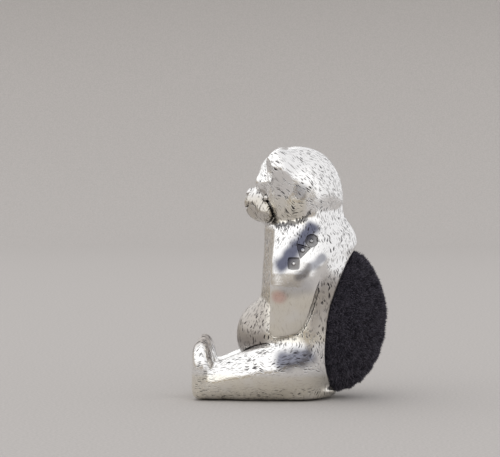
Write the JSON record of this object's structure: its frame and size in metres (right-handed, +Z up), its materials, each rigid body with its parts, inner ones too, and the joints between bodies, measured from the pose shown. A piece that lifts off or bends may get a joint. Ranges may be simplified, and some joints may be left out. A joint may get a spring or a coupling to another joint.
{
  "type": "teddy bear pincushion",
  "caption": "Seated silver teddy bear with legs forward, hands on its thighs and a domed oval velvet pad for pins set in its open back.",
  "frame": {"origin": "on the table, in the middle of the flat of the seat", "axes": "+Z up; the bear faces -Y; its left side is at +X"},
  "size_m": [0.0192, 0.0292, 0.0379],
  "materials": {
    "silver": "polished stamped silver with fine chased fur strokes, dark in the recesses",
    "velvet": "short-pile velvet, near black with a purple tint",
    "sawdust": "packed sawdust"
  },
  "bodies": {
    "root": {"bear_body": "silver", "velvet_cover": "velvet", "cushion_stuffing": "sawdust"}
  },
  "joints": []
}
